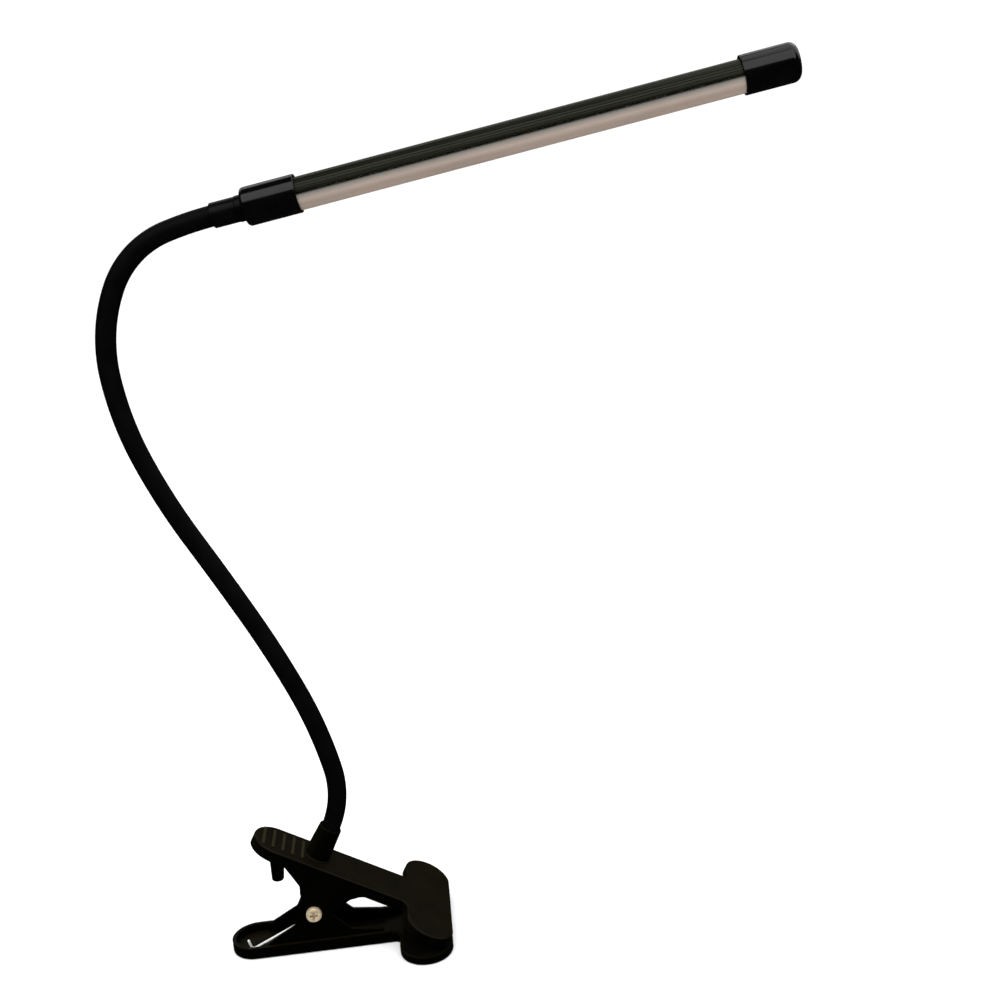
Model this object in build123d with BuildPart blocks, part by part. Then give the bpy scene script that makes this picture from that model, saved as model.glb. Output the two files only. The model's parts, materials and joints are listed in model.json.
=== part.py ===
from build123d import *

import os
from math import cos, radians, sin

# Clip-on gooseneck bar light, in millimetres.
# +X runs from the handles to the jaws, +Z is up, and the origin lies on the flat
# underside of the lower lever, straight below the pivot.

# ---- clamp: two pressed channel levers on one pivot screw
PIVOT_Z = 23.0
LEVER_HALF_WIDTH = 13.2
LEVER_WALL = 2.0
PLATE_SLOPE = 30.5          # the closed upper lever falls towards the jaws by this, in degrees
PIVOT_TO_PLATE = 25.0       # from the pivot square to the outer face of the upper plate
UPPER_PLATE = 2.4
UPPER_DEPTH = 6.0
UPPER_TIP = -45.2           # stations along the upper plate, from the foot of that square
UPPER_JAW_BACK = 42.7
UPPER_JAW_FRONT = 69.1
UPPER_JAW_DEPTH = 5.0
LOWER_PLATE = 1.8
LOWER_DEPTH = 6.4
LOWER_TIP = -46.6
LOWER_JAW_BACK = 43.5
LOWER_JAW_FRONT = 71.4
LOWER_JAW_DEPTH = 4.0
JAW_HALF_WIDTH = 38.0
JAW_ROOT_FILLET = 3.0
OUTER_FILLET = 0.9
UPPER_EAR_OUT = 13.2
UPPER_EAR_IN = 11.2
UPPER_KNUCKLE = 8.4
# the ears' outlines under the knuckles, as (x, z) from the pivot
UPPER_EAR = [
    (-14.0, 32.7), (-11.5, 28.2), (-5.6, 17.0), (-5.8, 4.0), (4.0, -5.0),
    (15.5, 2.8), (19.7, 5.4), (25.0, 6.2), (31.0, 5.5), (30.0, 8.0),
]
UPPER_EAR_ROUND = 3.0
LOWER_EAR = [
    (-28.5, -22.3), (-27.0, -16.3), (-11.3, -7.6), (-8.4, -2.0), (8.4, -3.0),
    (13.5, -8.3), (18.6, -13.3), (35.0, -15.4), (36.5, -22.3),
]
LOWER_EAR_ROUND = 2.0
LOWER_EAR_OUT = 10.9
LOWER_EAR_IN = 8.9
LOWER_KNUCKLE = 8.8
PAD_INSET = 2.3
UPPER_PAD_PROUD = 0.6
LOWER_PAD_PROUD = 0.8
PAD_FILLET = 0.4
RIB_STATIONS = [-40.0, -34.5, -29.0, -23.5, -18.0]
GROOVE_STATIONS = [-40.5, -35.0, -29.5, -24.0, -18.5]
RIB_WIDTH = 1.6
RIB_HEIGHT = 0.5
RIB_HALF_LENGTH = 9.0

# ---- pivot hardware
SHANK_R = 1.95
PIVOT_BORE_R = 2.0
SCREW_HEAD_R = 4.15
SCREW_HEAD_HEIGHT = 2.5
SCREW_HEAD_FILLET = 1.3
SCREW_TAIL = 1.0            # thread past the nut
CROSS_LENGTH = 4.4
CROSS_WIDTH = 0.9
CROSS_DEPTH = 1.5
PIVOT_SIDE_GAP = 0.1
WASHER_R = 4.6
WASHER_THICK = 0.8
NUT_FLATS = 7.0
NUT_THICK = 3.2
BUSH_R = 3.0

# ---- torsion spring
WIRE_R = 0.65
COIL_R = 4.1
COIL_HALF_LENGTH = 6.0
COIL_TURNS = 8
COIL_EXTRA = 95.6           # degrees past the whole turns, which set the angle between the legs
LOWER_LEG_ANGLE = 293.2     # where the lower leg leaves the coil, seen from the screw head
LOWER_LEG = 40.4
UPPER_LEG = 36.2
LOWER_HOOK_LENGTH = 5.5
LOWER_HOOK_LEAN = 0.25
UPPER_HOOK_LENGTH = 2.3
HOOK_BEND = 1.6

# ---- cord gland under the upper handle
GLAND_X = -17.9
GLAND_BOTTOM = 15.2         # above the pivot
GLAND_LEAN = 4.6
GLAND_R = 3.8
GLAND_TIP_R = 3.2
GLAND_BORE_R = 2.0
GLAND_BORE_LENGTH = 11.0
GLAND_CAVITY_R = 2.7
GLAND_TIP_FILLET = 1.0
GLAND_WINDOW = 4.2
GLAND_REACH = 30.0          # long enough to be trimmed off by the plate

# ---- neck fitting on the upper plate
COLLAR_STATION = -9.8
COLLAR_HEIGHT = 18.3
COLLAR_FOOT_R = 7.0
COLLAR_TOP_R = 6.05
COLLAR_MOUTH_R = 5.45
COLLAR_FILLET = 0.4
NIPPLE_R = 4.0
NIPPLE_BORE_R = 1.8
NIPPLE_BOTTOM = -8.0
NIPPLE_TOP = 12.6
LOCK_WASHER_R = 7.0
LOCK_WASHER_THICK = 0.8
LOCK_NUT_FLATS = 12.0
LOCK_NUT_THICK = 3.6

# ---- gooseneck: nine arcs end to end, with a pivot between each pair
ARM_TURN = 4.5              # the neck and head stand this far off the clamp's own line
NECK_HEADING = 62.5         # above +X, where the neck leaves its collar
NECK_LENGTHS = [34.9, 47.6, 46.6, 47.6, 45.6, 43.6, 44.6, 38.3, 23.5]
NECK_TURNS = [37.8, 11.5, 4.9, 1.5, -8.3, -15.6, -31.4, -46.1, -7.6]
NECK_R = 5.0
SLEEVE_BORE_R = 4.2
CORE_R = 3.95
CORE_BORE_R = 1.3
LEAD_R = 0.9
LEAD_BEND = 2.4
BALL_R = 3.4
CUP_R = 3.45
CUP_LIP = 1.0               # the cup's reach past the pivot
CUP_LENGTH = 4.6
STEM_R = 2.05
CUP_R_OUT = 4.05
END_BORE_R = 1.45           # the ball's and the cup's own bore
WELD = 0.3                  # how far one feature of a core runs into the next
SHOULDER_GAP = 3.6
SLEEVE_GAP = 1.5
LEAD_START = 3.9
LEAD_STOP = 0.6
NECK_INSERT = 5.0
CORE_TO_SLEEVE_END = 0.3

# ---- ferrule and swivel at the head
FERRULE_LENGTH = 15.3
FERRULE_R = 6.0
FERRULE_BEAD_R = 6.25
FERRULE_BEAD = 3.0
FERRULE_BORE_R = 1.6
FERRULE_MOUTH_R = 5.2
FERRULE_MOUTH = 6.5
FERRULE_CHAMFER = 0.3
BEAD_CHAMFER = 0.4
LEAD_GAP = 0.6
SWIVEL_GAP = 0.3
SPIGOT_R = 4.0
SPIGOT_LENGTH = 10.0
CLIP_GROOVE_R = 3.4
CLIP_R = 6.2
CLIP_THICK = 0.8
CLIP_GAP = 0.35
CLIP_SLOT = 2.4
CLIP_SLOT_BOTTOM = 0.5

# ---- head: a half-round aluminium housing, a half-round diffuser and two caps
CAP_R = 9.15
CAP_LENGTH = 26.5
CAP_END_WALL = 3.4
CAP_MOUTH_R = 8.5
CAP_MOUTH = 4.8
CAP_SEAT_R = 8.15
CAP_CAVITY_R = 7.4
INNER_CAP_FILLET = 2.0
OUTER_CAP_FILLET = 4.0
CAP_RIM_FILLET = 0.4
CAP_BORE_R = 4.05
HOUSING_R = 7.55
DIFFUSER_R = 8.1
BAR_WALL = 1.15
SPLIT_GAP = 0.4
BAR_VISIBLE = 211.7
BAR_INSERT = 8.0
WEB_TOP = 2.4
WEB_BOTTOM = 1.2
FLUTE_COUNT = 15
FLUTE_PITCH = 10.0
FLUTE_R = 0.22
BOARD_HALF_WIDTH = 5.0
BOARD_THICK = 1.0
BOARD_SETBACK = 1.2
CHIP_LENGTH = 3.5
CHIP_WIDTH = 2.8
CHIP_HEIGHT = 0.7
CHIP_COUNT = 26

os.makedirs("parts", exist_ok=True)


def save(piece, name):
    """Labels a finished piece and writes it under its own name."""
    piece.part.label = name
    export_step(piece.part, f"parts/{name}.step")


# ======================================================================= levers
pivot = Vector(0, 0, PIVOT_Z)
plate_x = Vector(cos(radians(PLATE_SLOPE)), 0, -sin(radians(PLATE_SLOPE)))
plate_up = Vector(sin(radians(PLATE_SLOPE)), 0, cos(radians(PLATE_SLOPE)))
plate = Plane(origin=pivot + plate_up * PIVOT_TO_PLATE, x_dir=plate_x, z_dir=plate_up)


def lever_plan(tip, back, front, inset=0.0):
    """The plan of a lever in the open sketch: a round-ended arm with a pill-shaped jaw across it."""
    half = LEVER_HALF_WIDTH
    jaw_r = (front - back) / 2
    with Locations(((tip + half + back + jaw_r) / 2, 0)):
        Rectangle(back + jaw_r - tip - half, 2 * half)
    with Locations((tip + half, 0)):
        Circle(half)
    with Locations(((back + front) / 2, 0)):
        SlotOverall(2 * JAW_HALF_WIDTH, 2 * jaw_r, rotation=90)
    corners = [v for v in vertices() if abs(v.X - back) < 0.5 and abs(abs(v.Y) - half) < 0.5]
    fillet(corners, JAW_ROOT_FILLET)
    if inset:
        offset(amount=-inset)


def ear_planes(y_in, y_out):
    """The planes that an ear at each side is extruded from, both towards -Y."""
    return [Plane(origin=(0, y, PIVOT_Z), x_dir=(1, 0, 0), z_dir=(0, -1, 0)) for y in (-y_in, y_out)]


def round_corners(points, radius):
    """Fillets the open sketch at the corners nearest to these points."""
    fillet([vertices().sort_by_distance(Vector(*p))[0] for p in points], radius)


with BuildPart() as upper_lever:
    with BuildSketch(plate):
        lever_plan(UPPER_TIP, UPPER_JAW_BACK, UPPER_JAW_FRONT)
    extrude(amount=-UPPER_DEPTH)
    fillet(faces().sort_by(Axis(plate.origin, plate_up))[-1].edges(), OUTER_FILLET)
    with BuildSketch(plate.offset(-UPPER_PLATE)):
        lever_plan(UPPER_TIP, UPPER_JAW_BACK, UPPER_JAW_FRONT, inset=LEVER_WALL)
    extrude(amount=-UPPER_DEPTH, mode=Mode.SUBTRACT)
    # the walls get shallower along the jaw
    with BuildSketch(Plane(origin=plate.origin, x_dir=plate_x, z_dir=(0, -1, 0))):
        with BuildLine():
            Polyline(
                (UPPER_JAW_BACK - 6, -UPPER_DEPTH - 1), (UPPER_JAW_BACK - 6, -UPPER_DEPTH),
                (UPPER_JAW_BACK + 2, -UPPER_JAW_DEPTH), (UPPER_JAW_FRONT + 1, -UPPER_JAW_DEPTH),
                (UPPER_JAW_FRONT + 1, -UPPER_DEPTH - 1), close=True,
            )
        make_face()
    extrude(amount=JAW_HALF_WIDTH + 1, both=True, mode=Mode.SUBTRACT)
    # ears down to the pivot
    with BuildSketch(*ear_planes(UPPER_EAR_IN, UPPER_EAR_OUT)):
        with BuildLine():
            Polyline(*UPPER_EAR, close=True)
        make_face()
        round_corners([UPPER_EAR[2], UPPER_EAR[6], UPPER_EAR[7]], UPPER_EAR_ROUND)
        Circle(UPPER_KNUCKLE)
        Circle(PIVOT_BORE_R, mode=Mode.SUBTRACT)
    extrude(amount=UPPER_EAR_OUT - UPPER_EAR_IN)
    # grip ribs across the handle
    with BuildSketch(plate):
        with Locations(*[(station, 0) for station in RIB_STATIONS]):
            SlotOverall(2 * RIB_HALF_LENGTH, RIB_WIDTH, rotation=90)
    extrude(amount=RIB_HEIGHT)
    with BuildSketch(plate):
        with Locations((COLLAR_STATION, 0)):
            Circle(NIPPLE_R)
    extrude(amount=-UPPER_PLATE, mode=Mode.SUBTRACT)
save(upper_lever, "upper_lever")

with BuildPart() as lower_lever:
    with BuildSketch(Plane.XY):
        lever_plan(LOWER_TIP, LOWER_JAW_BACK, LOWER_JAW_FRONT)
    extrude(amount=LOWER_DEPTH)
    fillet(faces().sort_by(Axis.Z)[0].edges(), OUTER_FILLET)
    with BuildSketch(Plane.XY.offset(LOWER_PLATE)):
        lever_plan(LOWER_TIP, LOWER_JAW_BACK, LOWER_JAW_FRONT, inset=LEVER_WALL)
    extrude(amount=LOWER_DEPTH, mode=Mode.SUBTRACT)
    # the walls step down round the jaw
    with BuildSketch(Plane.XZ):
        with BuildLine():
            Polyline(
                (LOWER_JAW_BACK - 5, LOWER_DEPTH + 1), (LOWER_JAW_BACK - 5, LOWER_DEPTH),
                (LOWER_JAW_BACK + 2, LOWER_JAW_DEPTH), (LOWER_JAW_FRONT + 1, LOWER_JAW_DEPTH),
                (LOWER_JAW_FRONT + 1, LOWER_DEPTH + 1), close=True,
            )
        make_face()
    extrude(amount=JAW_HALF_WIDTH + 1, both=True, mode=Mode.SUBTRACT)
    # ears up to the pivot, inside the upper lever's
    with BuildSketch(*ear_planes(LOWER_EAR_IN, LOWER_EAR_OUT)):
        with BuildLine():
            Polyline(*LOWER_EAR, close=True)
        make_face()
        round_corners([LOWER_EAR[1], LOWER_EAR[2], LOWER_EAR[6]], LOWER_EAR_ROUND)
        Circle(LOWER_KNUCKLE)
        Circle(PIVOT_BORE_R, mode=Mode.SUBTRACT)
    extrude(amount=LOWER_EAR_OUT - LOWER_EAR_IN)
    # grip grooves across the underside of the handle
    with BuildSketch(Plane.XY):
        with Locations(*[(station, 0) for station in GROOVE_STATIONS]):
            SlotOverall(2 * RIB_HALF_LENGTH, RIB_WIDTH, rotation=90)
    extrude(amount=RIB_HEIGHT, mode=Mode.SUBTRACT)
save(lower_lever, "lower_lever")


def jaw_pad(plane, back, front, thickness):
    """A pill-shaped rubber pad inside a jaw's wall, standing off the plane it is glued to."""
    with BuildPart() as pad:
        with BuildSketch(plane):
            with Locations(((back + front) / 2, 0)):
                SlotOverall(2 * (JAW_HALF_WIDTH - PAD_INSET), front - back - 2 * PAD_INSET, rotation=90)
        extrude(amount=thickness)
        fillet(faces().sort_by(Axis(plane.origin, plane.z_dir))[-1].edges(), PAD_FILLET)
    return pad


under_plate = Plane(origin=plate.origin - plate_up * UPPER_PLATE, x_dir=plate_x, z_dir=-plate_up)
upper_pad_thick = UPPER_JAW_DEPTH - UPPER_PLATE + UPPER_PAD_PROUD
lower_pad_thick = LOWER_JAW_DEPTH - LOWER_PLATE + LOWER_PAD_PROUD
save(jaw_pad(under_plate, UPPER_JAW_BACK, UPPER_JAW_FRONT, upper_pad_thick), "upper_jaw_pad")
save(jaw_pad(Plane.XY.offset(LOWER_PLATE), LOWER_JAW_BACK, LOWER_JAW_FRONT, lower_pad_thick),
     "lower_jaw_pad")


# ============================================================== pivot hardware
def across(y):
    """A plane square to the pivot at this Y, facing -Y."""
    return Plane(origin=(0, y, PIVOT_Z), x_dir=(1, 0, 0), z_dir=(0, -1, 0))


ear_face = UPPER_EAR_OUT + PIVOT_SIDE_GAP
screw_end = ear_face + WASHER_THICK + NUT_THICK + SCREW_TAIL
with BuildPart() as pivot_screw:
    with BuildSketch(across(-ear_face)):
        Circle(SCREW_HEAD_R)
    extrude(amount=SCREW_HEAD_HEIGHT)
    fillet(faces().sort_by(Axis.Y)[0].edges(), SCREW_HEAD_FILLET)
    with BuildSketch(across(screw_end)):
        Circle(SHANK_R)
    extrude(amount=screw_end + ear_face)
    with BuildSketch(across(-ear_face - SCREW_HEAD_HEIGHT)):
        Rectangle(CROSS_LENGTH, CROSS_WIDTH)
        Rectangle(CROSS_WIDTH, CROSS_LENGTH)
    extrude(amount=-CROSS_DEPTH, mode=Mode.SUBTRACT)
save(pivot_screw, "pivot_screw")

with BuildPart() as pivot_washer:
    with BuildSketch(across(ear_face + WASHER_THICK)):
        Circle(WASHER_R)
        Circle(SHANK_R, mode=Mode.SUBTRACT)
    extrude(amount=WASHER_THICK)
save(pivot_washer, "pivot_washer")

with BuildPart() as pivot_nut:
    with BuildSketch(across(ear_face + WASHER_THICK + NUT_THICK)):
        RegularPolygon(NUT_FLATS / 2, 6, major_radius=False)
        Circle(SHANK_R, mode=Mode.SUBTRACT)
    extrude(amount=NUT_THICK)
save(pivot_nut, "pivot_nut")

with BuildPart() as spring_bush:
    with BuildSketch(across(0)):
        Circle(BUSH_R)
        Circle(SHANK_R, mode=Mode.SUBTRACT)
    extrude(amount=LOWER_EAR_IN, both=True)
save(spring_bush, "spring_bush")

# the spring's two legs leave its coil on tangents, one to each lever
coil_sweep = 360 * COIL_TURNS + COIL_EXTRA
coil_base = Plane(
    origin=(0, -COIL_HALF_LENGTH, PIVOT_Z),
    x_dir=(cos(radians(LOWER_LEG_ANGLE)), 0, sin(radians(LOWER_LEG_ANGLE))),
    z_dir=(0, 1, 0),
)
coil_pitch = 2 * COIL_HALF_LENGTH * 360 / coil_sweep
coil = coil_base * Helix(coil_pitch, 2 * COIL_HALF_LENGTH, COIL_R, lefthand=True)
wire_start, wire_end = coil @ 0, coil @ 1
lower_foot = wire_start - (coil % 0) * LOWER_LEG
upper_foot = wire_end + (coil % 1) * UPPER_LEG
lower_hook = lower_foot + Vector(-LOWER_HOOK_LEAN, 0, 1).normalized() * LOWER_HOOK_LENGTH
upper_hook = upper_foot + Vector(0, 1, 0) * UPPER_HOOK_LENGTH
with BuildPart() as torsion_spring:
    with BuildLine() as wire:
        FilletPolyline(lower_hook, lower_foot, wire_start, radius=HOOK_BEND)
        add(coil)
        FilletPolyline(wire_end, upper_foot, upper_hook, radius=HOOK_BEND)
    with BuildSketch(Plane(origin=wire.line @ 0, z_dir=wire.line % 0)):
        Circle(WIRE_R)
    sweep(path=wire.line, is_frenet=True)
save(torsion_spring, "torsion_spring")

# ==================================================================== cord gland
gland_down = Vector(-sin(radians(GLAND_LEAN)), 0, -cos(radians(GLAND_LEAN)))
gland_mouth = Plane(origin=pivot + Vector(GLAND_X, 0, GLAND_BOTTOM), z_dir=-gland_down,
                    x_dir=(cos(radians(GLAND_LEAN)), 0, -sin(radians(GLAND_LEAN))))
with BuildPart() as cord_gland:
    with BuildSketch(gland_mouth):
        Circle(GLAND_TIP_R)
    with BuildSketch(gland_mouth.offset(GLAND_BORE_LENGTH)):
        Circle(GLAND_R)
    loft()
    with BuildSketch(gland_mouth.offset(GLAND_BORE_LENGTH)):
        Circle(GLAND_R)
    extrude(amount=GLAND_REACH - GLAND_BORE_LENGTH)
    fillet(faces().sort_by(Axis(gland_mouth.origin, gland_mouth.z_dir))[0].edges(), GLAND_TIP_FILLET)
    with BuildSketch(gland_mouth):
        Circle(GLAND_BORE_R)
    extrude(amount=GLAND_BORE_LENGTH, mode=Mode.SUBTRACT)
    with BuildSketch(gland_mouth.offset(GLAND_BORE_LENGTH)):
        Circle(GLAND_CAVITY_R)
    extrude(amount=GLAND_REACH, mode=Mode.SUBTRACT)
    # a window on the neck's side lets the lead out of the cavity
    with BuildSketch(gland_mouth.offset(GLAND_BORE_LENGTH)):
        with Locations((GLAND_R, 0)):
            Rectangle(2 * GLAND_R, GLAND_WINDOW)
    extrude(amount=GLAND_REACH, mode=Mode.SUBTRACT)
    split(bisect_by=Plane(origin=under_plate.origin, x_dir=plate_x, z_dir=plate_up), keep=Keep.BOTTOM)
save(cord_gland, "cord_gland")

# ================================================================== neck fitting
fitting = Plane(origin=plate.from_local_coords((COLLAR_STATION, 0, 0)), x_dir=plate_x, z_dir=plate_up)
with BuildPart() as neck_collar:
    with BuildSketch(fitting):
        Circle(COLLAR_FOOT_R)
    with BuildSketch(fitting.offset(COLLAR_HEIGHT)):
        Circle(COLLAR_TOP_R)
    loft()
    fillet(faces().sort_by(Axis(fitting.origin, plate_up))[-1].edges(), COLLAR_FILLET)
    with BuildSketch(fitting):
        Circle(NIPPLE_R)
    extrude(amount=COLLAR_HEIGHT, mode=Mode.SUBTRACT)
    with BuildSketch(fitting.offset(NIPPLE_TOP)):
        Circle(COLLAR_MOUTH_R)
    extrude(amount=COLLAR_HEIGHT, mode=Mode.SUBTRACT)
save(neck_collar, "neck_collar")

with BuildPart() as neck_nipple:
    with BuildSketch(fitting.offset(NIPPLE_BOTTOM)):
        Circle(NIPPLE_R)
        Circle(NIPPLE_BORE_R, mode=Mode.SUBTRACT)
    extrude(amount=NIPPLE_TOP - NIPPLE_BOTTOM)
save(neck_nipple, "neck_nipple")

with BuildPart() as neck_lock_washer:
    with BuildSketch(fitting.offset(-UPPER_PLATE - LOCK_WASHER_THICK)):
        Circle(LOCK_WASHER_R)
        Circle(NIPPLE_R, mode=Mode.SUBTRACT)
    extrude(amount=LOCK_WASHER_THICK)
save(neck_lock_washer, "neck_lock_washer")

with BuildPart() as neck_lock_nut:
    with BuildSketch(fitting.offset(-UPPER_PLATE - LOCK_WASHER_THICK - LOCK_NUT_THICK)):
        RegularPolygon(LOCK_NUT_FLATS / 2, 6, major_radius=False)
        Circle(NIPPLE_R, mode=Mode.SUBTRACT)
    extrude(amount=LOCK_NUT_THICK)
save(neck_lock_nut, "neck_lock_nut")

# the lead from the gland to the nipple, looped under the plate
with BuildPart() as base_lead:
    with BuildLine() as base_route:
        FilletPolyline(
            gland_mouth.from_local_coords((0, 0, GLAND_BORE_LENGTH + 0.5)),
            gland_mouth.from_local_coords((0, 0, GLAND_BORE_LENGTH + 5.5)),
            pivot + Vector(-10.0, 0, 29.0), pivot + Vector(-8.2, 0, 16.7),
            fitting.from_local_coords((0, 0, NIPPLE_BOTTOM - 6)),
            fitting.from_local_coords((0, 0, NIPPLE_BOTTOM + 2)),
            radius=LEAD_BEND,
        )
    with BuildSketch(Plane(origin=base_route.line @ 0, z_dir=base_route.line % 0)):
        Circle(LEAD_R)
    sweep(path=base_route.line)
save(base_lead, "base_lead")

# ==================================================================== gooseneck
arm = Plane(origin=fitting.from_local_coords((0, 0, COLLAR_HEIGHT)),
            x_dir=(cos(radians(ARM_TURN)), -sin(radians(ARM_TURN)), 0),
            z_dir=(-sin(radians(ARM_TURN)), -cos(radians(ARM_TURN)), 0))


def arc_end(start, heading, length, turn):
    """The end of an arc in the arm's plane: its point and its heading."""
    half = radians(turn) / 2
    chord = length * sin(half) / half if half else length
    middle = radians(heading) + half
    return (start[0] + chord * cos(middle), start[1] + chord * sin(middle)), heading + turn


joints = [((0.0, 0.0), NECK_HEADING)]
for neck_length, neck_turn in zip(NECK_LENGTHS, NECK_TURNS):
    joints.append(arc_end(*joints[-1], neck_length, neck_turn))


def tangent_plane(point, heading, ahead=0.0):
    """The plane square to the arm's line at a point of it, or this far straight ahead."""
    along = arm.x_dir * cos(radians(heading)) + Vector(0, 0, sin(radians(heading)))
    return Plane(origin=arm.from_local_coords((*point, 0)) + along * ahead, x_dir=arm.z_dir, z_dir=along)


def station(segment, distance):
    """The plane square to the neck at this distance along one of its segments."""
    length, turn = NECK_LENGTHS[segment], NECK_TURNS[segment]
    return tangent_plane(*arc_end(*joints[segment], distance, turn * distance / length))


def lengthwise(plane):
    """The plane through a station's axis: local x is the radius and local y runs along the neck."""
    return Plane(origin=plane.origin, x_dir=plane.x_dir, z_dir=plane.x_dir.cross(plane.z_dir))


def ring(outer, inner=0.0):
    """A ring, or a disc, in the open sketch."""
    Circle(outer)
    if inner:
        Circle(inner, mode=Mode.SUBTRACT)


def bent_tube(segment, start, stop, outer, inner, before=0.0, after=0.0):
    """A tube along one segment, with straight ends that carry on past it."""
    first, last = station(segment, start), station(segment, stop)
    with BuildPart() as tube:
        with BuildLine() as line:
            TangentArc(first.origin, last.origin, tangent=first.z_dir)
        with BuildSketch(first):
            ring(outer, inner)
        sweep(path=line.line)
        if before:
            with BuildSketch(first):
                ring(outer, inner)
            extrude(amount=-before)
        if after:
            with BuildSketch(last):
                ring(outer, inner)
            extrude(amount=after)
    return tube


last_segment = len(NECK_LENGTHS) - 1
for i in range(last_segment + 1):
    first, last = i == 0, i == last_segment
    length = NECK_LENGTHS[i]
    sleeve = bent_tube(
        i, 0 if first else SLEEVE_GAP, length if last else length - SLEEVE_GAP, NECK_R, SLEEVE_BORE_R,
        before=NECK_INSERT if first else 0, after=FERRULE_MOUTH - CORE_TO_SLEEVE_END if last else 0,
    )
    save(sleeve, f"neck_sleeve_{i + 1}")

    core_tube = bent_tube(
        i, 0 if first else CUP_LENGTH - WELD, length if last else length - SHOULDER_GAP, CORE_R,
        CORE_BORE_R, before=NECK_INSERT if first else 0,
        after=FERRULE_MOUTH - CORE_TO_SLEEVE_END if last else 0,
    )
    with BuildPart() as core:
        add(core_tube.part)
        if not first:
            at = station(i, 0)
            with BuildSketch(lengthwise(at)):
                middle = (CUP_LENGTH - CUP_LIP) / 2
                with Locations(((END_BORE_R + CUP_R_OUT) / 2, middle)):
                    Rectangle(CUP_R_OUT - END_BORE_R, CUP_LENGTH + CUP_LIP)
                Circle(CUP_R, mode=Mode.SUBTRACT)
            revolve(axis=Axis(at.origin, at.z_dir))
        if not last:
            at = station(i, length)
            with BuildSketch(lengthwise(at)):
                Circle(BALL_R)
                with Locations((STEM_R / 2, -(SHOULDER_GAP + WELD) / 2)):
                    Rectangle(STEM_R, SHOULDER_GAP + WELD)
                with Locations((END_BORE_R - CORE_R, 0)):
                    Rectangle(2 * CORE_R, 4 * CORE_R, mode=Mode.SUBTRACT)
            revolve(axis=Axis(at.origin, at.z_dir))
    save(core, f"neck_core_{i + 1}")

    lead = bent_tube(
        i, 0 if first else LEAD_START, length if last else length - LEAD_STOP, LEAD_R, 0,
        before=NECK_INSERT + 2 if first else 0, after=FERRULE_LENGTH + SPIGOT_LENGTH if last else 0,
    )
    save(lead, f"neck_lead_{i + 1}")

# ============================================================ ferrule and swivel
neck_end, head_heading = joints[-1]
ferrule_plane = tangent_plane(neck_end, head_heading)
with BuildPart() as neck_ferrule:
    with BuildSketch(lengthwise(ferrule_plane)):
        with BuildLine():
            step = FERRULE_LENGTH - FERRULE_BEAD
            groove = FERRULE_LENGTH + SWIVEL_GAP + CAP_END_WALL + CLIP_GAP
            tip = FERRULE_LENGTH + SPIGOT_LENGTH
            Polyline(
                (FERRULE_MOUTH_R, 0), (FERRULE_R - FERRULE_CHAMFER, 0), (FERRULE_R, FERRULE_CHAMFER),
                (FERRULE_R, step), (FERRULE_BEAD_R, step + BEAD_CHAMFER), (FERRULE_BEAD_R, FERRULE_LENGTH),
                (SPIGOT_R, FERRULE_LENGTH), (SPIGOT_R, groove), (CLIP_GROOVE_R, groove),
                (CLIP_GROOVE_R, groove + CLIP_THICK), (SPIGOT_R, groove + CLIP_THICK), (SPIGOT_R, tip),
                (FERRULE_BORE_R, tip), (FERRULE_BORE_R, FERRULE_MOUTH),
                (FERRULE_MOUTH_R, FERRULE_MOUTH), close=True,
            )
        make_face()
    revolve(axis=Axis(ferrule_plane.origin, ferrule_plane.z_dir))
save(neck_ferrule, "neck_ferrule")

with BuildPart() as swivel_clip:
    with BuildSketch(ferrule_plane.offset(groove)):
        ring(CLIP_R, CLIP_GROOVE_R)
        with Locations((0, CLIP_R)):
            Rectangle(CLIP_SLOT, 2 * (CLIP_R - CLIP_SLOT_BOTTOM), mode=Mode.SUBTRACT)
    extrude(amount=CLIP_THICK)
save(swivel_clip, "swivel_clip")

# ========================================================================== head
# stations from here on are measured along the bar from the inner cap's outer face;
# local x is towards the front and local y is the way the light shines
head_base = tangent_plane(neck_end, head_heading, FERRULE_LENGTH + SWIVEL_GAP)
bar_start = CAP_LENGTH - BAR_INSERT
bar_length = BAR_VISIBLE + 2 * BAR_INSERT
head_length = BAR_VISIBLE + 2 * CAP_LENGTH


def head(distance):
    """The plane square to the bar at this station, facing its far end."""
    return head_base.offset(distance)


def cap(base, end_fillet, bore):
    """An end cap whose closed end lies on this plane and whose mouth faces along its normal."""
    with BuildPart() as shell:
        with BuildSketch(base):
            Circle(CAP_R)
        extrude(amount=CAP_LENGTH)
        by_height = faces().sort_by(Axis(base.origin, base.z_dir))
        fillet(by_height[0].edges(), end_fillet)
        fillet(faces().sort_by(Axis(base.origin, base.z_dir))[-1].edges(), CAP_RIM_FILLET)
        for depth, radius in ((CAP_END_WALL, CAP_CAVITY_R), (CAP_LENGTH - BAR_INSERT, CAP_SEAT_R),
                              (CAP_LENGTH - CAP_MOUTH, CAP_MOUTH_R)):
            with BuildSketch(base.offset(depth)):
                Circle(radius)
            extrude(amount=CAP_LENGTH, mode=Mode.SUBTRACT)
        if bore:
            with BuildSketch(base):
                Circle(bore)
            extrude(amount=CAP_LENGTH, mode=Mode.SUBTRACT)
    return shell


save(cap(head(0), INNER_CAP_FILLET, CAP_BORE_R), "inner_end_cap")
far_end = head(head_length)
outer_base = Plane(origin=far_end.origin, x_dir=far_end.x_dir, z_dir=-far_end.z_dir)
save(cap(outer_base, OUTER_CAP_FILLET, 0), "outer_end_cap")

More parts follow.
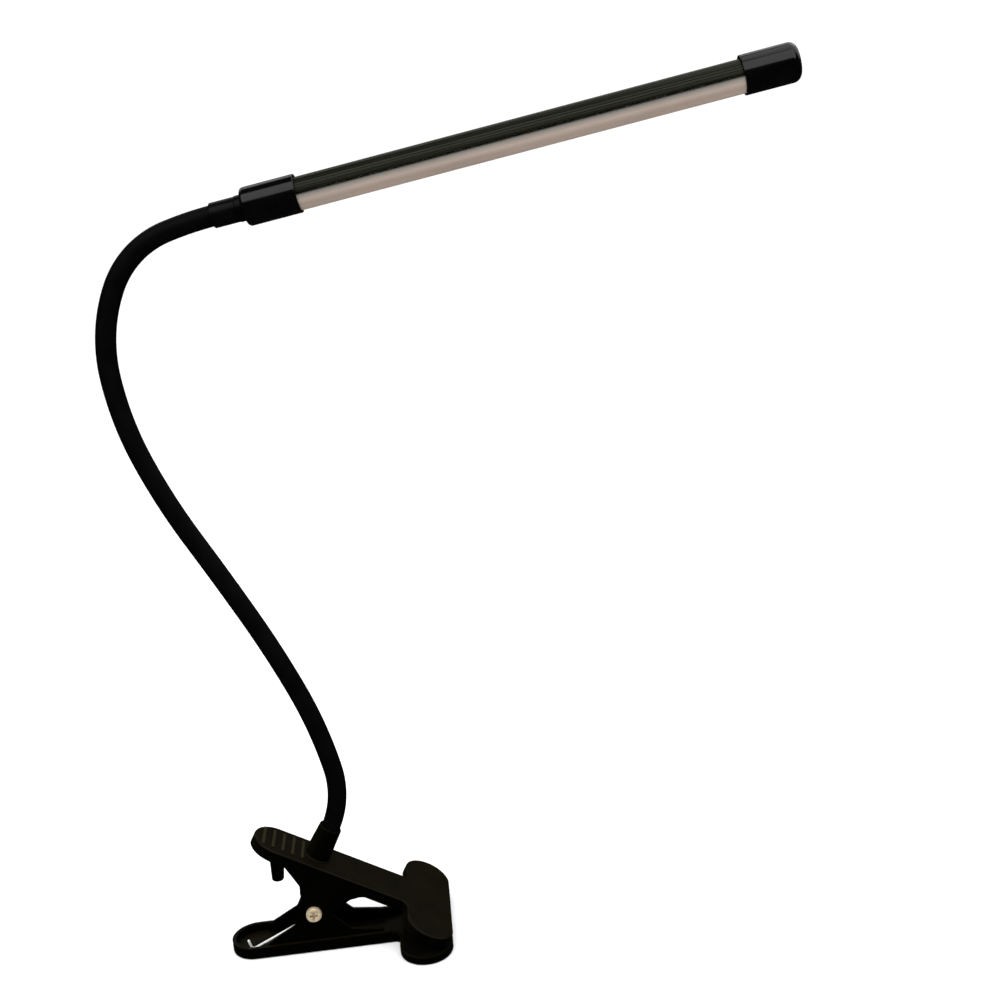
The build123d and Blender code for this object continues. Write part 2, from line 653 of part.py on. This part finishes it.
with BuildPart() as housing:
    with BuildSketch(head(bar_start)):
        ring(HOUSING_R, HOUSING_R - BAR_WALL)
        with Locations((0, HOUSING_R - SPLIT_GAP)):
            Rectangle(2 * HOUSING_R, 2 * HOUSING_R, mode=Mode.SUBTRACT)
        with Locations((0, -(WEB_TOP + WEB_BOTTOM) / 2)):
            Rectangle(2 * (HOUSING_R - BAR_WALL), WEB_TOP - WEB_BOTTOM)
        for k in range(FLUTE_COUNT):
            flute_angle = radians(-90 + FLUTE_PITCH * (k - (FLUTE_COUNT - 1) / 2))
            with Locations((HOUSING_R * cos(flute_angle), HOUSING_R * sin(flute_angle))):
                Circle(FLUTE_R, mode=Mode.SUBTRACT)
    extrude(amount=bar_length)
save(housing, "housing")

with BuildPart() as diffuser:
    with BuildSketch(head(bar_start)):
        ring(DIFFUSER_R, DIFFUSER_R - BAR_WALL)
        with Locations((0, -DIFFUSER_R)):
            Rectangle(2 * DIFFUSER_R, 2 * DIFFUSER_R, mode=Mode.SUBTRACT)
    extrude(amount=bar_length)
save(diffuser, "diffuser")

board_length = bar_length - 2 * BOARD_SETBACK
with BuildPart() as led_board:
    with BuildSketch(head(bar_start + BOARD_SETBACK)):
        with Locations((0, BOARD_THICK / 2 - WEB_BOTTOM)):
            Rectangle(2 * BOARD_HALF_WIDTH, BOARD_THICK)
    extrude(amount=board_length)
save(led_board, "led_board")

chip_pitch = BAR_VISIBLE / CHIP_COUNT
with BuildPart() as led_chips:
    for k in range(CHIP_COUNT):
        with BuildSketch(head(CAP_LENGTH + chip_pitch * (k + 0.5) - CHIP_LENGTH / 2)):
            with Locations((0, BOARD_THICK - WEB_BOTTOM + CHIP_HEIGHT / 2)):
                Rectangle(CHIP_WIDTH, CHIP_HEIGHT)
        extrude(amount=CHIP_LENGTH)
save(led_chips, "led_chips")

with BuildPart() as head_lead:
    lead_start = SPIGOT_LENGTH - SWIVEL_GAP + LEAD_GAP
    with BuildSketch(head(lead_start)):
        Circle(LEAD_R)
    extrude(amount=bar_start + BOARD_SETBACK - lead_start - LEAD_GAP)
save(head_lead, "head_lead")
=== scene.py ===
import json
from math import asin, cos, pi, radians, sin

import bpy
from mathutils import Matrix, Vector


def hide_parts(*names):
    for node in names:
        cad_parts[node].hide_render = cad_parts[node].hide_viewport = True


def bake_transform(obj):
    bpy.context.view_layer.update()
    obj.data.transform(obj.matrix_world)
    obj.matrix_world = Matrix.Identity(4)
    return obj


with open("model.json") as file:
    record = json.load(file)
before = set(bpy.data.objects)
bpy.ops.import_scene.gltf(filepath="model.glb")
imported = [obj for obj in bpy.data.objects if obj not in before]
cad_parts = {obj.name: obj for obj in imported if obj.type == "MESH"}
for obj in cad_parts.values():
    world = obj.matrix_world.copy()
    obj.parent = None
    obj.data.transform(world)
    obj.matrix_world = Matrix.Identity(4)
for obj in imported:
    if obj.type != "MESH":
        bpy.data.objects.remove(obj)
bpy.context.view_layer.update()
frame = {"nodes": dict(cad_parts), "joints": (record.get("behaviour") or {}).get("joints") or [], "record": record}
nodes = frame["nodes"]
joints = {joint["name"]: joint for joint in frame["joints"]}
scene = bpy.context.scene

MM = 0.001
UP = Vector((0, 0, 1))

# ---- camera: where it stands in the row frame, in metres, and how it is turned
CAMERA_POSITION = Vector((0.08264, -0.67672, 0.41965))
CAMERA_FORWARD = Vector((0.052016, 0.962948, -0.264622))
CAMERA_UP = Vector((0.107767, 0.258021, 0.96011))
CAMERA_LENS = 50.4
CAMERA_SENSOR = 36.0
CAMERA_CLIP = (0.01, 50.0)

# ---- neck: arcs end to end from pivot to pivot, with the CAD's lengths (mm) and turns (degrees)
NECK_LENGTHS = [34.9, 47.6, 46.6, 47.6, 45.6, 43.6, 44.6, 38.3, 23.5]
NECK_TURNS = [37.8, 11.5, 4.9, 1.5, -8.3, -15.6, -31.4, -46.1, -7.6]
NECK_SEGMENTS = len(NECK_LENGTHS)
SLEEVE_R = 5.0 * MM
SLEEVE_BORE_R = 4.6 * MM
CORE_R = 3.85 * MM
CORE_GROOVE = 0.35 * MM
CORE_BORE_R = 2.3 * MM
CORE_PITCH = 2.4 * MM
CORE_PROFILE = [0.0, 0.35, 0.85, 1.0, 0.85, 0.35]  # one turn of the winding, groove to crest
CORE_SIDES = 24
SLEEVE_STEP = 1.0 * MM
SLEEVE_SIDES = 40
COLLAR_INSERT = 5.0 * MM                  # how far the neck goes down into its collar
FERRULE_INSERT = 6.2 * MM                 # and up into its ferrule

# ---- upper lever's plate: its slope in degrees, and its height over the pivot, square to it
PLATE_SLOPE = 30.5
PIVOT_TO_PLATE = 25.0 * MM
RIB_PAINTED_HIGHLIGHT = (0.1 * MM, 0.4 * MM)            # over the plate, where the painted highlight on the ribs grows
RIB_TOP = (0.6 * MM, 0.9 * MM)            # and where it ends, so that the collar has none
UP_TILT = (0.25, 0.8)                     # Z of a normal, from a side face to a top face, where painted shade gives way to painted light
SIDE_PAINTED_SHADE = 0.12                         # painted shade: a side face's colour, as a share of a top face's

# ---- bar
DIFFUSER_R = 8.1 * MM
SPLIT_PAINTED_SHADE = (0.2 * MM, 0.8 * MM)        # painted shade on the housing's lip over the diffuser

# ---- torsion spring: the coil's angles are in degrees, seen along the pivot
WIRE_R = 0.65 * MM
WIRE_SIDES = 14
WIRE_DOME = (80, 50, 25)                  # latitudes of the rings that dome a wire's end
COIL_R = 4.1 * MM
COIL_HALF = 6.0 * MM
COIL_START = 293.2
COIL_SWEEP = 2975.6
COIL_STEPS = 300
LOWER_LEG = 40.4 * MM
UPPER_LEG = 36.2 * MM
LOWER_HOOK = 5.5 * MM
UPPER_HOOK = 2.3 * MM
HOOK_BEND = 1.6 * MM
HOOK_LEAN = -0.25                         # the lower hook's lean back, per unit of rise

# ---- floor and room
FLOOR_HALF = 8.0
FLOOR_DROP = 0.2 * MM
ROOM_GREY = 0.015                         # what the object is lit by between the lights
BACKDROP_WHITE = 1.05                     # what the camera sees past the floor

SHARP_ANGLE = 45                          # degrees between faces that meet in an edge


# ================================================================ node materials
class Shader:
    """One node material: a principled shader with textures laid in the row frame's coordinates."""

    def __init__(self, name, colour, roughness, metallic=0.0, specular=0.5, coat=0.0,
                 coat_roughness=0.1):
        self.material = bpy.data.materials.new(name)
        self.material.use_nodes = True
        self.tree = self.material.node_tree
        self.bsdf = self.tree.nodes["Principled BSDF"]
        self.put("Base Color", (*colour, 1.0))
        self.put("Roughness", roughness)
        self.put("Metallic", metallic)
        self.put("Specular IOR Level", specular)
        if coat:
            self.put("Coat Weight", coat)
            self.put("Coat Roughness", coat_roughness)
        self.coords = self.tree.nodes.new("ShaderNodeTexCoord")
        self.normal = None

    def put(self, socket, value):
        """Sets one of the shader's own sockets."""
        self.bsdf.inputs[socket].default_value = value

    def link(self, output, socket):
        self.tree.links.new(output, socket)

    def space(self, scale, turn=(0.0, 0.0, 0.0)):
        """Object coordinates turned and then scaled, so that a texture can run along a part."""
        turned = self.tree.nodes.new("ShaderNodeMapping")
        turned.inputs["Rotation"].default_value = turn
        self.link(self.coords.outputs["Object"], turned.inputs["Vector"])
        scaled = self.tree.nodes.new("ShaderNodeMapping")
        scaled.inputs["Scale"].default_value = scale
        self.link(turned.outputs["Vector"], scaled.inputs["Vector"])
        return scaled.outputs["Vector"]

    def noise(self, scale, turn=(0.0, 0.0, 0.0), detail=3.0, roughness=0.55):
        """Noise of this many waves to the metre, or of a different number along each axis."""
        texture = self.tree.nodes.new("ShaderNodeTexNoise")
        texture.inputs["Scale"].default_value = 1.0
        texture.inputs["Detail"].default_value = detail
        texture.inputs["Roughness"].default_value = roughness
        scale = scale if hasattr(scale, "__len__") else (scale,) * 3
        self.link(self.space(scale, turn), texture.inputs["Vector"])
        return texture.outputs["Fac"]

    def ramp(self, value, stops):
        """A value turned into a colour between these stops, each (position, colour)."""
        ramp = self.tree.nodes.new("ShaderNodeValToRGB")
        elements = ramp.color_ramp.elements
        while len(elements) < len(stops):
            elements.new(0.5)
        for element, (position, colour) in zip(elements, stops):
            element.position = position
            element.color = (*colour, 1.0)
        self.link(value, ramp.inputs["Fac"])
        return ramp.outputs["Color"]

    def fit(self, value, low, high, start=0.3, stop=0.7):
        """A value moved from start..stop to low..high."""
        fitted = self.tree.nodes.new("ShaderNodeMapRange")
        for socket, number in (("From Min", start), ("From Max", stop),
                               ("To Min", low), ("To Max", high)):
            fitted.inputs[socket].default_value = number
        self.link(value, fitted.inputs["Value"])
        return fitted.outputs["Result"]

    def along(self, direction, origin, low, high):
        """0 to 1 between these distances from a point, along a direction of the row frame."""
        direction = Vector(direction)
        product = self.tree.nodes.new("ShaderNodeVectorMath")
        product.operation = "DOT_PRODUCT"
        product.inputs[1].default_value = direction
        self.link(self.coords.outputs["Object"], product.inputs[0])
        start = direction.dot(origin)
        return self.fit(product.outputs["Value"], 0.0, 1.0, start + low, start + high)

    def upward(self, low, high):
        """0 to 1 as a face turns from this tilt of its normal, as its Z, to that one."""
        parts = self.tree.nodes.new("ShaderNodeSeparateXYZ")
        self.link(self.coords.outputs["Normal"], parts.inputs["Vector"])
        return self.fit(parts.outputs["Z"], 0.0, 1.0, low, high)

    def multiply(self, first, second):
        """The product of two values."""
        product = self.tree.nodes.new("ShaderNodeMath")
        product.operation = "MULTIPLY"
        self.link(first, product.inputs[0])
        self.link(second, product.inputs[1])
        return product.outputs["Value"]

    def mix_base(self, blend_type):
        """A node that mixes its B into the base colour that is linked already."""
        mix = self.tree.nodes.new("ShaderNodeMix")
        mix.data_type = "RGBA"
        mix.blend_type = blend_type
        mix.inputs["Factor"].default_value = 1.0
        self.link(self.bsdf.inputs["Base Color"].links[0].from_socket, mix.inputs["A"])
        self.link(mix.outputs["Result"], self.bsdf.inputs["Base Color"])
        return mix

    def tint(self, value, stops):
        """Multiplies the base colour that is linked by a ramp of this value."""
        self.link(self.ramp(value, stops), self.mix_base("MULTIPLY").inputs["B"])

    def lighten(self, share, colour):
        """Adds this colour to the base colour that is linked, by this share."""
        mix = self.mix_base("ADD")
        self.link(share, mix.inputs["Factor"])
        mix.inputs["B"].default_value = (*colour, 1.0)

    def colour(self, value, stops):
        """The base colour, from a ramp of this value."""
        self.link(self.ramp(value, stops), self.bsdf.inputs["Base Color"])

    def rough(self, value, low, high):
        """The roughness, between these two with this value."""
        self.link(self.fit(value, low, high), self.bsdf.inputs["Roughness"])

    def bump(self, value, distance, strength=1.0):
        """Adds relief of this height, over any that is there already."""
        bump = self.tree.nodes.new("ShaderNodeBump")
        bump.inputs["Strength"].default_value = strength
        bump.inputs["Distance"].default_value = distance
        self.link(value, bump.inputs["Height"])
        if self.normal:
            self.link(self.normal, bump.inputs["Normal"])
        self.normal = bump.outputs["Normal"]
        self.link(self.normal, self.bsdf.inputs["Normal"])


def grey(value, warmth=0.0):
    """A neutral colour, or a slightly warm one."""
    return (value * (1 + warmth), value, value * (1 - warmth))


def axis_turn(direction):
    """The Euler turn that brings this direction of the row frame onto local X."""
    turn = Vector(direction).rotation_difference(Vector((1, 0, 0)))
    return tuple(turn.to_euler("XYZ"))


plate_slope = radians(PLATE_SLOPE)
plate_up = Vector((sin(plate_slope), 0, cos(plate_slope)))
plate_origin = Vector(joints["jaw_open"]["pos_m"]) + plate_up * PIVOT_TO_PLATE
bar_axis = Vector(joints["head_swivel"]["axis"])
bar_origin = Vector(joints["head_swivel"]["pos_m"])
bar_turn = axis_turn(bar_axis)
bar_up = bar_axis.cross(Vector(joints["neck_bend_1"]["axis"])).normalized()
if bar_up.z < 0:
    bar_up = -bar_up


def moulded_black():
    """Satin ABS with a spark-eroded grain and faint flow marks; faces that look up get painted light and side
    faces painted shade.
    """
    s = Shader("clamp_plastic", grey(0.004), 0.36, specular=0.09)
    s.colour(s.noise(60), [(0.3, (0.003, 0.0024, 0.0008)), (0.7, (0.005, 0.0041, 0.0013))])
    # painted shade: side faces are darkened to a share of the top faces' colour, as if lit from above
    s.tint(s.upward(*UP_TILT), [(0.0, grey(SIDE_PAINTED_SHADE)), (1.0, grey(1.0))])
    # painted highlight: the grip ribs are painted lighter than the plate that they stand on
    over_plate = s.along(plate_up, plate_origin, *RIB_PAINTED_HIGHLIGHT)
    under_collar = s.along(-plate_up, plate_origin, -RIB_TOP[1], -RIB_TOP[0])
    s.lighten(s.multiply(over_plate, under_collar), (0.014, 0.0125, 0.007))
    s.rough(s.noise((90, 260, 90), detail=5), 0.3, 0.44)
    s.bump(s.noise(2600, detail=2), 0.05 * MM, 0.55)
    s.bump(s.noise(420, detail=2), 0.05 * MM, 0.3)
    return s.material


def gloss_black():
    """Polished black plastic with the slight waviness of a moulding and fine wipe marks."""
    s = Shader("cap_plastic", grey(0.001), 0.14, specular=0.5)
    s.colour(s.noise(120), [(0.3, grey(0.0004)), (0.7, grey(0.001))])
    s.rough(s.noise((40, 900, 900), bar_turn, detail=6), 0.1, 0.2)
    s.bump(s.noise(70, detail=2), 0.08 * MM, 0.15)
    return s.material


def anodised_black():
    """Black anodised extrusion: die lines run along it, with a fine metallic sparkle."""
    s = Shader("housing_metal", grey(0.02), 0.3, metallic=0.5, specular=0.4)
    lines = s.noise((18, 2600, 2600), bar_turn, detail=6, roughness=0.7)
    s.colour(lines, [(0.25, (0.0034, 0.0036, 0.0025)), (0.5, (0.011, 0.0117, 0.0058)),
                     (0.75, (0.027, 0.0287, 0.0155))])
    # painted shade: the housing is darkened along its lip over the diffuser
    s.tint(s.along(bar_up, bar_origin, *SPLIT_PAINTED_SHADE), [(0.0, grey(0.05)), (1.0, grey(1.0))])
    s.rough(s.noise((30, 1500, 1500), bar_turn, detail=5), 0.2, 0.34)
    s.bump(lines, 0.02 * MM, 0.35)
    s.bump(s.noise(5200, detail=1), 0.015 * MM, 0.35)
    return s.material


def frosted():
    """Unlit frosted acrylic, warm grey with a soft sheen; painted shade darkens it where it meets the housing and
    painted light brightens it partway down.
    """
    s = Shader("diffuser", (0.4, 0.32, 0.27), 0.42, specular=0.35, coat=0.12, coat_roughness=0.25)
    s.colour(s.noise((25, 160, 160), bar_turn),
             [(0.3, (0.345, 0.278, 0.236)), (0.7, (0.39, 0.314, 0.267))])
    # painted light and shade round the bar: darkest and coolest at the split with the housing, brightest a little
    # under halfway down, dimmer at the bottom
    s.tint(s.along(bar_up, bar_origin, -DIFFUSER_R, 0.0),
           [(0.0, (0.74, 0.72, 0.7)), (0.35, (0.72, 0.7, 0.67)), (0.6, grey(0.94)),
            (0.8, (0.64, 0.7, 0.72)), (0.91, (0.36, 0.43, 0.44)), (0.97, (0.05, 0.06, 0.06))])
    s.rough(s.noise((60, 500, 500), bar_turn, detail=4), 0.32, 0.46)
    s.bump(s.noise(1800, detail=2), 0.02 * MM, 0.3)
    s.put("Subsurface Weight", 0.15)
    s.put("Subsurface Scale", 1.0 * MM)
    return s.material


def sleeve_black():
    """Soft black sleeve over the gooseneck: matt, with fine pores and slight handling marks."""
    s = Shader("neck_sleeve", grey(0.001), 0.56, specular=0.08)
    s.colour(s.noise(90), [(0.3, grey(0.0006)), (0.7, grey(0.0014, 0.05))])
    s.rough(s.noise(160, detail=5), 0.48, 0.66)
    s.bump(s.noise(1500, detail=3), 0.04 * MM, 0.4)
    return s.material


def metal(name, low, high, roughness, scale, metallic=1.0):
    """A plated or bright metal with fine tool marks."""
    s = Shader(name, high, roughness, metallic=metallic)
    s.colour(s.noise(scale, detail=5), [(0.3, low), (0.7, high)])
    s.rough(s.noise([v * 2 for v in scale], detail=4), roughness * 0.75, roughness * 1.3)
    s.bump(s.noise([v * 5 for v in scale], detail=2), 0.02 * MM, 0.35)
    return s.material


def plain_rubber():
    """Dull black rubber with a coarse, dusty grain."""
    s = Shader("jaw_rubber", grey(0.002), 0.8, specular=0.04)
    s.colour(s.noise(220), [(0.3, grey(0.0009, 0.2)), (0.7, grey(0.0022, 0.2))])
    s.rough(s.noise(400, detail=4), 0.72, 0.9)
    s.bump(s.noise(1900, detail=3), 0.08 * MM, 0.6)
    return s.material


def ferrule_black():
    """Black plated ferrule, satin, with turning marks along it."""
    s = Shader("ferrule", grey(0.001), 0.34, specular=0.12)
    s.colour(s.noise(150), [(0.3, grey(0.0006)), (0.7, grey(0.0014))])
    s.rough(s.noise((80, 900, 900), bar_turn, detail=4), 0.24, 0.38)
    s.bump(s.noise(1300, detail=2), 0.02 * MM, 0.35)
    return s.material


def plastic(name, low, high, roughness):
    """A plain coloured plastic with slight unevenness."""
    s = Shader(name, high, roughness)
    s.colour(s.noise(260, detail=4), [(0.3, low), (0.7, high)])
    s.rough(s.noise(500, detail=3), roughness * 0.85, roughness * 1.15)
    s.bump(s.noise(1700, detail=2), 0.02 * MM, 0.3)
    return s.material


finishes = {
    "clamp_plastic": moulded_black(),
    "jaw_rubber": plain_rubber(),
    "neck_sleeve": sleeve_black(),
    "neck_core": metal("neck_core", grey(0.3), grey(0.5), 0.35, (200, 1200, 200)),
    "lead": plastic("lead", (0.5, 0.5, 0.48), (0.62, 0.62, 0.6), 0.35),
    "pivot_steel": metal("pivot_steel", (0.5, 0.38, 0.22), (0.78, 0.66, 0.48), 0.3,
                         (500, 500, 500), metallic=0.45),
    "spring_steel": metal("spring_steel", grey(0.8), grey(0.95), 0.3,
                          (700, 700, 700), metallic=0.3),
    "bush_plastic": plastic("bush_plastic", (0.45, 0.45, 0.42), (0.55, 0.55, 0.52), 0.5),
    "ferrule": ferrule_black(),
    "cap_plastic": gloss_black(),
    "housing_metal": anodised_black(),
    "diffuser": frosted(),
    "board": plastic("board", (0.72, 0.72, 0.7), (0.85, 0.85, 0.83), 0.4),
    "chips": plastic("chips", (0.75, 0.6, 0.15), (0.9, 0.78, 0.3), 0.45),
}
for part in frame["record"]["subparts"]:
    surface = nodes[part["node"]].data.materials
    surface.clear()
    surface.append(finishes[part["material_slot"]])


# ================================================================== mesh helpers
def new_piece(name, points, faces, slot):
    """A smooth-shaded mesh piece in the row frame."""
    mesh = bpy.data.meshes.new(name)
    mesh.from_pydata([tuple(p) for p in points], [], faces)
    mesh.validate()
    for polygon in mesh.polygons:
        polygon.use_smooth = True
    mesh.set_sharp_from_angle(angle=radians(SHARP_ANGLE))
    mesh.materials.append(finishes[slot])
    piece = bpy.data.objects.new(name, mesh)
    scene.collection.objects.link(piece)
    return piece


def loft(rings, closed=True):
    """Faces that join equal rings of points in order, and the last ring to the first if closed."""
    count = len(rings[0])
    points = [p for ring in rings for p in ring]
    faces = []
    for k in range(len(rings) if closed else len(rings) - 1):
        a, b = k * count, (k + 1) % len(rings) * count
        for i in range(count):
            j = (i + 1) % count
            faces.append((a + i, a + j, b + j, b + i))
    return points, faces


def frames_along(path):
    """A (point, tangent, side) for each point of a path, with the side carried along untwisted."""
    tangents = []
    for k in range(len(path)):
        before, after = path[max(k - 1, 0)], path[min(k + 1, len(path) - 1)]
        tangents.append((after - before).normalized())
    side = tangents[0].orthogonal().normalized()
    frames = []
    for point, tangent in zip(path, tangents):
        side = (side - tangent * side.dot(tangent)).normalized()
        frames.append((point, tangent, side))
    return frames


def circle(point, tangent, side, radius, count):
    """A ring of points round a path's point, square to its tangent."""
    other = tangent.cross(side)
    return [point + (side * cos(2 * pi * i / count) + other * sin(2 * pi * i / count)) * radius
            for i in range(count)]


def wire(name, path, radius, slot):
    """A round solid wire along a path, with domed ends."""
    def dome(frame_at_end, outward, latitudes):
        point, tangent, side = frame_at_end
        return [circle(point + tangent * outward * radius * sin(radians(turn)), tangent, side,
                       radius * cos(radians(turn)), WIRE_SIDES) for turn in latitudes]

    frames = frames_along(path)
    rings = (dome(frames[0], -1, WIRE_DOME) + [circle(*f, radius, WIRE_SIDES) for f in frames]
             + dome(frames[-1], 1, reversed(WIRE_DOME)))
    points, faces = loft(rings, closed=False)
    faces.append(tuple(reversed(range(WIRE_SIDES))))
    faces.append(tuple(range(len(points) - WIRE_SIDES, len(points))))
    return new_piece(name, points, faces, slot)


# ========================================================================== neck
neck_side = Vector(joints["neck_bend_1"]["axis"])      # square to the plane that the neck lies in
neck_ahead = UP.cross(neck_side).normalized()          # level, towards the head, in that plane
if neck_ahead.x < 0:
    neck_ahead = -neck_ahead


def heading(angle):
    """The direction in the neck's plane at this angle over level."""
    return neck_ahead * cos(angle) + UP * sin(angle)


# the arcs are followed back from the swivel, where the place and the heading are known
arcs = []
end, end_angle = bar_origin, asin(bar_axis.z)
for length, turn in zip(reversed(NECK_LENGTHS), reversed(NECK_TURNS)):
    length, turn = length * MM, radians(turn)
    half = turn / 2
    chord = length * (sin(half) / half if half else 1.0)
    start = end - heading(end_angle - half) * chord
    arcs.append((start, end_angle - turn, length, turn))
    end, end_angle = start, end_angle - turn
arcs.reverse()


def neck_point(segment, distance):
    """The neck's own line at this distance along a segment; past its ends it runs straight."""
    start, angle, length, turn = arcs[segment]
    inside = min(max(distance, 0.0), length)
    share = turn * inside / length
    chord = inside * (sin(share / 2) / (share / 2) if share else 1.0)
    point = start + heading(angle + share / 2) * chord
    return point + heading(angle + share) * (distance - inside), heading(angle + share)


def neck_run(first, second, step):
    """Points of the neck's line from the middle of one segment to the middle of the next."""
    begin = -COLLAR_INSERT if first == 0 else arcs[first][2] / 2
    before = arcs[first][2] - begin
    after = arcs[second][2] + FERRULE_INSERT if second == NECK_SEGMENTS - 1 else arcs[second][2] / 2
    count_before, count_after = round(before / step), round(after / step)
    run = [neck_point(first, begin + before * k / count_before) for k in range(count_before)]
    return run + [neck_point(second, after * k / count_after) for k in range(count_after + 1)]


def neck_shell(name, run, outer, inner, slot, sides):
    """A tube with an open bore along a run; outer gives its radius at each point's number."""
    outside = [circle(point, tangent, neck_side, outer(k), sides)
               for k, (point, tangent) in enumerate(run)]
    inside = [circle(point, tangent, neck_side, inner, sides) for point, tangent in reversed(run)]
    return new_piece(name, *loft(outside + inside), slot)


def core_radius(k):
    """The wound core's radius at a run's point: grooves and crests, so many points to a turn."""
    return CORE_R - CORE_GROOVE * (1 - CORE_PROFILE[k % len(CORE_PROFILE)])


for k in range(NECK_SEGMENTS - 1):
    last = k == NECK_SEGMENTS - 2
    run = neck_run(k, k + 1, SLEEVE_STEP)
    sleeve = neck_shell(f"neck_sleeve_run_{k + 1}", run, lambda i: SLEEVE_R, SLEEVE_BORE_R,
                        "neck_sleeve", SLEEVE_SIDES)
    core = neck_shell(f"neck_core_run_{k + 1}", neck_run(k, k + 1, CORE_PITCH / len(CORE_PROFILE)),
                      core_radius, CORE_BORE_R, "neck_core", CORE_SIDES)
    replaced = [k + 1, NECK_SEGMENTS] if last else [k + 1]
    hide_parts(*[f"neck_sleeve_{i}" for i in replaced])
    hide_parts(*[f"neck_core_{i}" for i in replaced])
    for piece in (sleeve, core):
        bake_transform(piece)

# ================================================================ torsion spring
pivot = Vector(joints["jaw_open"]["pos_m"])


def coil_point(angle):
    """The coil's centre line at this angle: it winds round the pivot from side to side."""
    share = (angle - COIL_START) / COIL_SWEEP
    a = radians(angle)
    return pivot + Vector((COIL_R * cos(a), -COIL_HALF + 2 * COIL_HALF * share, COIL_R * sin(a)))


def coil_tangent(angle):
    """The way the coil's centre line runs at this angle."""
    return (coil_point(angle + 0.1) - coil_point(angle - 0.1)).normalized()


def bend(before, corner, after, radius, steps=8):
    """The points of an arc that rounds a corner."""
    a, b = (before - corner).normalized(), (after - corner).normalized()
    half = a.angle(b) / 2
    reach = radius / sin(half) * cos(half)
    centre = corner + (a + b).normalized() * (radius / sin(half))
    start = (corner + a * reach - centre).normalized()
    end = (corner + b * reach - centre).normalized()
    return [centre + start.slerp(end, k / steps) * radius for k in range(steps + 1)]


lower_foot = coil_point(COIL_START) - coil_tangent(COIL_START) * LOWER_LEG
upper_foot = coil_point(COIL_START + COIL_SWEEP) + coil_tangent(COIL_START + COIL_SWEEP) * UPPER_LEG
lower_tip = lower_foot + Vector((HOOK_LEAN, 0, 1)).normalized() * LOWER_HOOK
upper_tip = upper_foot + Vector((0, 1, 0)) * UPPER_HOOK
coil_run = [coil_point(COIL_START + COIL_SWEEP * k / COIL_STEPS) for k in range(COIL_STEPS + 1)]
lower_bend = bend(lower_tip, lower_foot, coil_run[0], HOOK_BEND)
upper_bend = bend(coil_run[-1], upper_foot, upper_tip, HOOK_BEND)


def straight(a, b, steps=12):
    """The points between two ends of a straight stretch."""
    return [a.lerp(b, k / steps) for k in range(1, steps)]


spring_path = ([lower_tip] + straight(lower_tip, lower_bend[0], 4) + lower_bend
               + straight(lower_bend[-1], coil_run[0]) + coil_run
               + straight(coil_run[-1], upper_bend[0]) + upper_bend + [upper_tip])
spring = wire("torsion_spring_wire", spring_path, WIRE_R, "spring_steel")
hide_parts("torsion_spring")
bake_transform(spring)

# ================================================================ floor and light
floor_mesh = bpy.data.meshes.new("floor")
floor_mesh.from_pydata([(x * FLOOR_HALF, y * FLOOR_HALF, 0)
                        for x, y in ((-1, -1), (1, -1), (1, 1), (-1, 1))], [], [(0, 1, 2, 3)])
floor = bpy.data.objects.new("floor", floor_mesh)
floor.location = (0, 0, -FLOOR_DROP)
scene.collection.objects.link(floor)
floor.visible_glossy = False
floor_paint = Shader("floor_paint", grey(0.97), 0.9, specular=0.1)
floor_paint.colour(floor_paint.noise(3), [(0.3, grey(0.96)), (0.7, grey(0.98))])
floor_mesh.materials.append(floor_paint.material)


def lamp_object(name, light, direction):
    """A light in the scene, turned to shine in this direction."""
    lamp = bpy.data.objects.new(name, light)
    lamp.rotation_euler = Vector(direction).to_track_quat("-Z", "Y").to_euler()
    scene.collection.objects.link(lamp)
    return lamp


def softbox(name, position, target, width, height, radiance):
    """A rectangle of light that shows in reflections at this radiance."""
    light = bpy.data.lights.new(name, "AREA")
    light.shape = "RECTANGLE"
    light.size, light.size_y = width, height
    light.energy = radiance * pi * width * height
    lamp = lamp_object(name, light, Vector(target) - Vector(position))
    lamp.location = position
    lamp.visible_camera = False


def sky_light(name, direction, strength, angle):
    """Even light from a wide part of the sky, with no reflection of its own."""
    light = bpy.data.lights.new(name, "SUN")
    light.energy = strength
    light.angle = radians(angle)
    lamp_object(name, light, direction).visible_glossy = False


softbox("softbox_front", position=(-0.05, -0.72, 1.38), target=(0.1, 0.0, 0.42),
        width=2.8, height=1.1, radiance=1.25)
softbox("softbox_back", position=(1.0, 0.3, 1.45), target=(0.4, 0.0, 0.42),
        width=1.3, height=2.2, radiance=0.9)
softbox("softbox_rear", position=(0.1, 1.15, 1.35), target=(0.1, 0.0, 0.3),
        width=2.4, height=0.7, radiance=0.8)
sky_light("skylight", direction=(0.15, 0.3, -1.0), strength=3.7, angle=120)

# the camera sees a white backdrop, and the object sees a dim room
world = bpy.data.worlds.new("studio")
scene.world = world
world.use_nodes = True
tree = world.node_tree
room = tree.nodes["Background"]
room.inputs["Color"].default_value = (*grey(ROOM_GREY), 1)
backdrop = tree.nodes.new("ShaderNodeBackground")
backdrop.inputs["Color"].default_value = (1, 1, 1, 1)
backdrop.inputs["Strength"].default_value = BACKDROP_WHITE
ray = tree.nodes.new("ShaderNodeLightPath")
chosen = tree.nodes.new("ShaderNodeMixShader")
tree.links.new(ray.outputs["Is Camera Ray"], chosen.inputs["Fac"])
tree.links.new(room.outputs["Background"], chosen.inputs[1])
tree.links.new(backdrop.outputs["Background"], chosen.inputs[2])
tree.links.new(chosen.outputs["Shader"], tree.nodes["World Output"].inputs["Surface"])
scene.view_settings.view_transform = "Standard"

# ======================================================================== camera
camera_data = bpy.data.cameras.new("camera")
camera_data.sensor_width = CAMERA_SENSOR
camera_data.lens = CAMERA_LENS
camera_data.clip_start, camera_data.clip_end = CAMERA_CLIP
camera = bpy.data.objects.new("camera", camera_data)
scene.collection.objects.link(camera)
back = -CAMERA_FORWARD.normalized()
right = CAMERA_UP.cross(back).normalized()
up = back.cross(right)
turned = Matrix((right, up, back)).transposed().to_4x4()
camera.matrix_world = Matrix.Translation(CAMERA_POSITION) @ turned
scene.camera = camera
